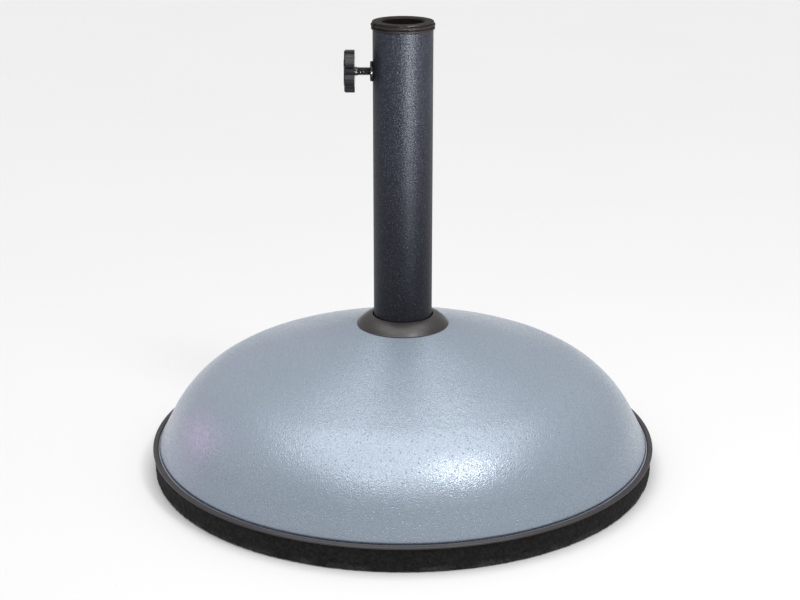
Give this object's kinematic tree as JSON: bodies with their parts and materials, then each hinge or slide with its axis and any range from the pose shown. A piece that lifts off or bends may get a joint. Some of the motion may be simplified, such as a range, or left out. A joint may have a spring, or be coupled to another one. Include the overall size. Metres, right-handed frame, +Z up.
{
  "type": "parasol base",
  "caption": "Round domed parasol base with a lipped tray, a steel pole tube with a push-in reducer, a loose cover collar and a side clamping knob.",
  "frame": {"origin": "on the ground, under the middle of the tube", "axes": "+Z up along the tube, towards the mouth of the pole bore; -X towards the clamping knob; -Y towards the front"},
  "size_m": [0.4999, 0.5, 0.4424],
  "materials": {
    "dome_paint": "blue-grey paint, satin, finely hammered",
    "concrete": "cast, rough",
    "tray_plastic": "smooth satin black",
    "band_rubber": "rough, speckled black",
    "foot_rubber": "matt",
    "zinc_steel": "zinc plated",
    "inner_plastic": "plain moulded",
    "tube_coat": "dark blue-black powder coat with fine grain",
    "collar_plastic": "satin black-grey",
    "insert_plastic": "satin black-grey",
    "pad_plastic": "natural nylon",
    "black_steel": "blackened, oily",
    "knob_plastic": "satin black moulding"
  },
  "bodies": {
    "base": {"dome_shell": "dome_paint", "concrete_core": "concrete", "base_tray": "tray_plastic", "edge_band": "band_rubber", "rubber_feet": "foot_rubber", "foot_screws": "zinc_steel", "foot_anchors": "inner_plastic", "socket_liner": "inner_plastic", "stand_tube": "tube_coat", "tube_end_plug": "zinc_steel", "fixing_bolt": "zinc_steel", "lock_washer": "zinc_steel", "fixing_washer": "zinc_steel", "pole_seat": "collar_plastic", "screw_boss": "black_steel"},
    "collar": {"cover_collar": "collar_plastic"},
    "reducer": {"top_insert": "insert_plastic"},
    "clamp_pad": {"thrust_pad": "pad_plastic"},
    "knob": {"clamp_screw": "black_steel", "knob_head": "knob_plastic", "knob_cap": "knob_plastic"}
  },
  "joints": [
    {"name": "collar_lift", "type": "slide", "parent": "base", "child": "collar", "axis": [0, 0, 1], "range_m": [0, 0.219]},
    {"name": "reducer_pull", "type": "slide", "parent": "base", "child": "reducer", "axis": [0, 0, 1], "range_m": [0, 0.06]},
    {"name": "clamp_travel", "type": "slide", "parent": "base", "child": "clamp_pad", "axis": [1, 0, 0], "range_m": [-0.0013, 0.0113]},
    {"name": "knob_turn", "type": "hinge", "parent": "clamp_pad", "child": "knob", "pos_m": [-0.0453, 0, 0.395], "axis": [1, 0, 0], "range_deg": [-360, 3240]}
  ],
  "couplings": [
    {"joint": "clamp_travel", "follows": "knob_turn", "m_per_rad": 0.00019894}
  ]
}
